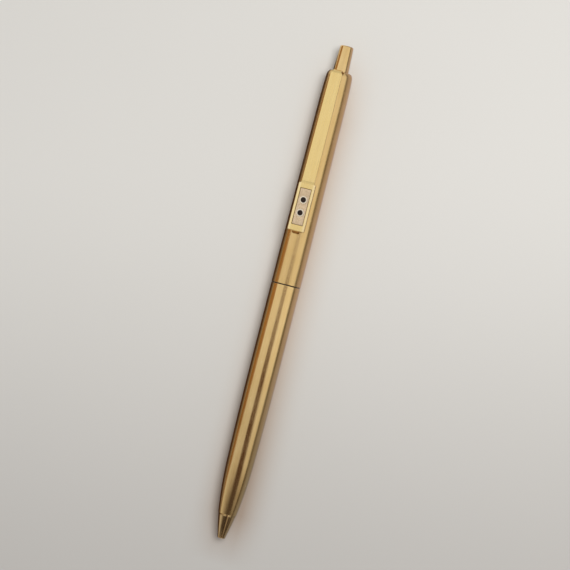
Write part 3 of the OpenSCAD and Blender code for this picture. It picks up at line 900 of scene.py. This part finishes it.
def black_enamel():
    """Glossy black fill with tiny pits."""
    material, nodes, surface = new_material("enamel_black", Coat_Weight=0.1, Coat_Roughness=0.2,
                                            Specular_IOR_Level=0.2)
    pits = nodes.noise(nodes.stretched(5000, 5000, 5000), 3.0)
    colour = nodes.mix(pits, linear(24, 16, 12), linear(46, 34, 27))
    roughness = nodes.remap(pits, 0.3, 0.7, 0.35, 0.55)
    connect(nodes, surface, Base_Color=colour, Roughness=roughness, Normal=nodes.bump(pits, 6e-6))
    return material


def turned_metal(name, dark, light, rough):
    """Metal with fine rings round its axis, for turned and drawn parts."""
    material, nodes, surface = new_material(name, Metallic=1.0)
    rings = nodes.noise(nodes.stretched(14000, 400, 400), 3.0, 0.6)
    patches = nodes.noise(nodes.stretched(900, 900, 900), 3.0)
    colour = nodes.mix(nodes.calc("MULTIPLY", rings, patches), dark, light)
    colour = nodes.mix(nodes.remap(rings, 0.3, 0.7), dark, colour)
    roughness = nodes.remap(patches, 0.3, 0.7, rough - 0.06, rough + 0.08)
    connect(nodes, surface, Base_Color=colour, Roughness=roughness,
            Normal=nodes.bump(rings, 3e-6))
    return material


def moulded(name, dark, light, rough, see_through=0.0):
    """Moulded plastic: faint flow marks, fine skin texture and soft speckle."""
    material, nodes, surface = new_material(name, Transmission_Weight=see_through,
                                            Subsurface_Weight=0.05, Subsurface_Scale=0.4 * MM)
    skin = nodes.noise(nodes.stretched(9000, 9000, 9000), 2.0)
    flow = nodes.noise(nodes.stretched(300, 900, 900), 4.0)
    colour = nodes.mix(nodes.remap(flow, 0.3, 0.7), dark, light)
    roughness = nodes.remap(flow, 0.3, 0.7, rough - 0.06, rough + 0.08)
    connect(nodes, surface, Base_Color=colour, Roughness=roughness, Normal=nodes.bump(skin, 4e-6))
    return material


def pale_floor():
    """Matte pale tabletop, with painted shade that darkens it past the point end and a painted warm
    shadow beside the pen. In reflections, what lies left of the pen is deep brown, as beside
    another pen, and the far side is dim."""
    material, nodes, surface = new_material("pale_floor", Roughness=0.6)
    along, across, _ = nodes.axes()
    cloud = nodes.noise(nodes.stretched(9, 9, 9), 3.0)
    fine = nodes.noise(nodes.stretched(2200, 2200, 2200), 2.0)
    # painted shade: the floor goes from a lit pale tone far up the view to a darker grey past the
    # point end
    up_view = nodes.calc("ADD", nodes.calc("MULTIPLY", along, math.cos(CAMERA_LEAN)),
                         nodes.calc("MULTIPLY", across, math.sin(CAMERA_LEAN)))
    far_end = nodes.remap(up_view, -0.1, 0.04, 0.0, 1.0, True)
    light = nodes.mix(cloud, linear(227, 226, 222), linear(231, 230, 227))
    shaded_grey = nodes.mix(cloud, linear(192, 190, 187), linear(196, 194, 191))
    plain = nodes.mix(far_end, shaded_grey, light)
    seen = warm_shade(nodes, along, across, plain)
    reflected = floor_reflection(nodes, along, across, plain)
    connect(nodes, surface, Base_Color=nodes.mix(nodes.is_reflection(), seen, reflected),
            Normal=nodes.bump(fine, 8e-6))
    surface.inputs["Specular IOR Level"].default_value = 0.2
    return material


def warm_shade(nodes, along, across, plain):
    """The floor's colour with a soft warm shade beside the pen, deeper near the point."""
    beside = nodes.remap(nodes.calc("ABSOLUTE", across), 3 * MM, 12 * MM, 1.0, 0.0)
    beside = nodes.product(
        beside, beside,
        nodes.remap(along, -76 * MM, -62 * MM),
        nodes.remap(along, 45 * MM, 62 * MM, 1.0, 0.0),
    )
    tint = nodes.mix(nodes.remap(along, -52 * MM, -10 * MM), (0.72, 0.6, 0.52, 1.0),
                     (0.86, 0.77, 0.71, 1.0))
    return nodes.mix(beside, plain, nodes.tinted(plain, tint))


def floor_reflection(nodes, along, across, plain):
    """The floor's colour as the pen reflects it."""
    side = nodes.product(nodes.remap(across, 2 * MM, 5 * MM),
                         nodes.remap(along, 60 * MM, 66 * MM, 1.0, 0.0))
    depth = nodes.remap(across, 10 * MM, 60 * MM, 1.0, 0.6)
    left = nodes.mix(nodes.product(side, depth), plain, linear(62, 35, 14))
    near = nodes.mix(nodes.remap(along, -52 * MM, 0.0),
                     linear(184, 188, 202), linear(221, 214, 234))
    far = nodes.mix(nodes.remap(across, -50 * MM, -10 * MM, 1.0, 0.0), near, linear(140, 130, 120))
    right = nodes.tinted(plain, far)
    return nodes.mix(nodes.remap(across, -1 * MM, 1 * MM), right, left)


# ---------------------------------------------------------------- the object

def build_object():
    """Makes every visible piece and dresses the CAD nodes that stay."""
    satin = plated_metal("gold_satin", linear(236, 203, 144), linear(222, 186, 124),
                         rough=0.15, brush_lines=0.07)
    cap_satin = plated_metal("gold_satin_cap", linear(231, 197, 138), linear(219, 183, 119),
                             rough=0.21, brush_lines=0.07)
    polished = plated_metal("gold_polished", linear(232, 200, 146), linear(214, 178, 122),
                            rough=0.1, brush_lines=0.02)
    clip_gold = plated_metal("clip_gold", linear(247, 219, 151), linear(240, 209, 139),
                             rough=0.24, brush_lines=0.06, local_painted_light=clip_highlight_and_shade)
    raw_brass = turned_metal("raw_brass", linear(150, 112, 52), linear(226, 184, 106), rough=0.28)
    steel = turned_metal("spring_steel", linear(120, 120, 124), linear(198, 198, 202), rough=0.24)
    tube_steel = turned_metal("refill_steel", linear(160, 160, 162), linear(222, 222, 224),
                              rough=0.2)
    nickel = turned_metal("point_nickel", linear(176, 170, 154), linear(232, 228, 216), rough=0.18)
    carbide = turned_metal("ball_carbide", linear(116, 116, 122), linear(176, 176, 184),
                           rough=0.16)
    nylon = moulded("nylon_white", linear(214, 212, 200), linear(234, 232, 224), rough=0.42)
    seal = moulded("seal_black", linear(12, 11, 10), linear(28, 25, 23), rough=0.5)
    plug = moulded("plug_black", linear(16, 16, 17), linear(34, 34, 36), rough=0.36)
    ink = moulded("ink_blue", linear(8, 14, 70), linear(18, 30, 110), rough=0.2)
    grease = moulded("grease_clear", linear(206, 198, 150), linear(226, 220, 180), rough=0.16,
                     see_through=0.5)

    dress(barrel_tube(), "barrel", satin, "barrel_shell")
    dress(nose(), "barrel", polished, "nose_cone")
    dress(threaded_bush(), "barrel", raw_brass, "barrel_coupling")
    spring = coil()
    dress(spring, "barrel", steel, "return_spring")
    squeeze_spring(spring)
    dress(black_ring(), "seam", seal, "seam_ring")
    dress(cap_tube(), "cap", cap_satin, "cap_shell")
    sheet = clip_piece()
    paint(sheet, clip_gold)
    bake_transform(sheet)
    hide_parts("clip")
    dress(inlay_plate(), "clip", brushed_silver(), "clip_inlay")
    dress(rim_rings(), "clip", polished_silver(), "stud_rims")
    dress(enamel_fills(), "clip", black_enamel(), "stud_enamel")
    dress(button_cap(), "button", satin, "push_button")
    dress(point_housing(), "refill", nickel, "refill_tip")
    dress(point_ball(), "ball", carbide, "writing_ball")

    kept = {
        "cap_coupling": raw_brass, "cam_guide": nylon, "top_bush": plug, "plunger": nylon,
        "index_cam": nickel, "refill_nozzle": raw_brass, "refill_tube": tube_steel,
        "ink_column": ink, "grease_follower": grease, "refill_plug": plug,
    }
    for name, material in kept.items():
        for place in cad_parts[name].material_slots:
            place.link = "OBJECT"
            place.material = material


def squeeze_spring(spring):
    """Gives the spring a mesh of its own."""
    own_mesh(spring)


# ---------------------------------------------------------------- studio

def build_floor():
    """A plain pale floor that the pen lies on."""
    bm = bmesh.new()
    w = FLOOR_HALF_W
    corners = [(-w, -w), (w, -w), (w, w), (-w, w)]
    bm.faces.new([bm.verts.new((x, y, -BODY_R)) for x, y in corners])
    floor = make_object("floor", bm)
    floor.data.materials.append(pale_floor())


def build_light():
    """A broad soft lamp high on the right, a little towards the button end, which leaves a
    faint shadow under the left side."""
    data = bpy.data.lights.new("soft_key", "AREA")
    data.shape = "DISK"
    data.size = LAMP_W
    data.energy = LAMP_WATTS
    data.color = LAMP_TINT
    lamp = bpy.data.objects.new("soft_key", data)
    lamp.location = LAMP_PLACE
    lamp.rotation_euler = (-Vector(LAMP_PLACE)).to_track_quat("-Z", "Y").to_euler()
    lamp.visible_glossy = False
    bpy.context.collection.objects.link(lamp)


def room_axes(nodes):
    """Where a reflected ray points: its part along the pen, and its angle about the pen in
    degrees, from 0 straight up to 90 level on the right."""
    direction = nodes.add("ShaderNodeTexCoord").outputs["Generated"]
    along, across, up = nodes.add("ShaderNodeSeparateXYZ", {0: direction}).outputs
    # the room is dim beyond the point end, but steeper still it is bright again
    far_wall = nodes.remap(along, -0.54, -0.58, -0.54, -0.02)
    along = nodes.calc("MAXIMUM", along, far_wall)
    right = nodes.calc("MULTIPLY", across, -1.0)
    angle = nodes.calc("MULTIPLY", nodes.calc("ARCTAN2", right, up), 180 / math.pi)
    return along, angle


def nose_glint(nodes, along, angle):
    """1 in the narrow strip of light that only the steep nose reflects."""
    return nodes.product(
        nodes.remap(angle, 22, 32, 0.0, 1.0, True),
        nodes.remap(angle, 40, 52, 1.0, 0.0, True),
        nodes.remap(along, -0.5, -0.42, 1.0, 0.0, True),
    )


def steep_part(nodes, along, angle):
    """How far a ray goes to the browner ceiling overhead, beyond the point end."""
    overhead = nodes.remap(angle, -80, -5, 0.0, 1.0, True)
    return nodes.product(overhead, nodes.remap(along, -0.35, -0.1, 0.68, 0.0))


def ceiling_light(nodes, along, angle, steep, glint):
    """Brightness of the ceiling, which fades towards the point end and low on the right."""
    return nodes.product(
        nodes.remap(along, -0.1, 0.0, 0.68, 1.0),
        nodes.calc("SUBTRACT", 1.0, steep),
        nodes.calc("ADD", 1.0, nodes.calc("MULTIPLY", glint, 1.8)),
        nodes.remap(along, -0.55, -0.38, 0.4, 1.0),
        nodes.remap(along, 0.2, 0.8, 1.0, 0.72),
        nodes.remap(angle, 26, 36, 0.9, nodes.remap(along, 0.02, 0.07, 1.0, 0.92), True),
        nodes.remap(angle, 74, 88, 1.0, 0.2, True),
    )


def left_wall(nodes, along, angle):
    """1 on the dim, warm wall low on the left."""
    wall_angle = nodes.calc("ADD", angle, nodes.remap(along, -0.3, -0.02, 30.0, 0.0))
    return nodes.product(nodes.remap(wall_angle, -59, -51, 1.0, 0.0, True),
                         nodes.remap(along, 0.25, 0.35, 1.0, 0.0, True))


def dark_patch(nodes, along, angle, glint):
    """1 on the dark strip overhead that the barrel reflects along its middle. It widens
    towards the point end, and the cap hardly sees it."""
    start_angle = nodes.calc("ADD", angle, nodes.remap(along, -0.5, -0.42, 66.0, 0.0))
    start = nodes.remap(start_angle, nodes.remap(along, -0.35, -0.1, -25.0, -3.0),
                        nodes.remap(along, -0.35, -0.1, 20.0, 5.0), 0.0, 1.0, True)
    end_angle = nodes.calc("ADD", nodes.remap(along, -0.14, -0.02, 42.0, 25.0),
                           nodes.remap(along, -0.5, -0.38, 35.0, 0.0))
    past_end = nodes.calc("SUBTRACT", angle, end_angle)
    softness = nodes.remap(along, -0.35, -0.1, 0.5, 1.0)
    end = nodes.remap(nodes.calc("MULTIPLY", past_end, softness), -2, 8, 1.0, 0.0, True)
    return nodes.product(
        start,
        end,
        nodes.remap(along, -0.01, 0.004, 1.0, 0.08),
        nodes.remap(along, -0.55, -0.15, 0.5, 1.0),
        nodes.calc("SUBTRACT", 1.0, glint),
    )


def build_world():
    """Soft even light. Mirror-like surfaces see a white room instead, with a bright ceiling, a
    dark strip overhead and a warm wall on the left."""
    world = bpy.data.worlds.new("room")
    bpy.context.scene.world = world
    world.use_nodes = True
    tree = world.node_tree
    tree.nodes.clear()
    nodes = Nodes(tree)
    along, angle = room_axes(nodes)
    glint = nose_glint(nodes, along, angle)
    steep = steep_part(nodes, along, angle)
    level = ceiling_light(nodes, along, angle, steep, glint)
    seen = nodes.add("ShaderNodeCombineColor", {0: level, 1: level, 2: level}).outputs[0]
    for mask, tint in (
        (steep, STEEP_TINT),
        (left_wall(nodes, along, angle), WALL_TINT),
        (dark_patch(nodes, along, angle, glint), DARK_TINT),
    ):
        seen = nodes.mix(mask, seen, nodes.tinted(seen, tint))
    colour = nodes.mix(nodes.is_reflection(), ROOM_LIGHT, seen)
    back = nodes.add("ShaderNodeBackground", {"Color": colour, "Strength": 1.0})
    out = nodes.add("ShaderNodeOutputWorld")
    tree.links.new(back.outputs[0], out.inputs[0])


def build_camera():
    """Looks down at the seam, a little from the right of the clip."""
    back = Vector((0, -math.sin(CAMERA_TILT), math.cos(CAMERA_TILT)))
    along = Vector((1, 0, 0))
    side = (-back).cross(along)
    up = math.cos(CAMERA_LEAN) * along - math.sin(CAMERA_LEAN) * side
    right = math.sin(CAMERA_LEAN) * along + math.cos(CAMERA_LEAN) * side
    data = bpy.data.cameras.new("camera")
    data.sensor_width = 36
    data.lens = 36 * CAMERA_DISTANCE / VIEW_WIDTH
    data.clip_start = 0.01
    camera = bpy.data.objects.new("camera", data)
    place = back * CAMERA_DISTANCE - right * CAMERA_ASIDE
    camera.matrix_world = Matrix((
        (right.x, up.x, back.x, place.x),
        (right.y, up.y, back.y, place.y),
        (right.z, up.z, back.z, place.z),
        (0, 0, 0, 1),
    ))
    bpy.context.collection.objects.link(camera)
    bpy.context.scene.camera = camera


build_object()
build_floor()
build_light()
build_world()
build_camera()
bpy.context.scene.view_settings.view_transform = "Standard"
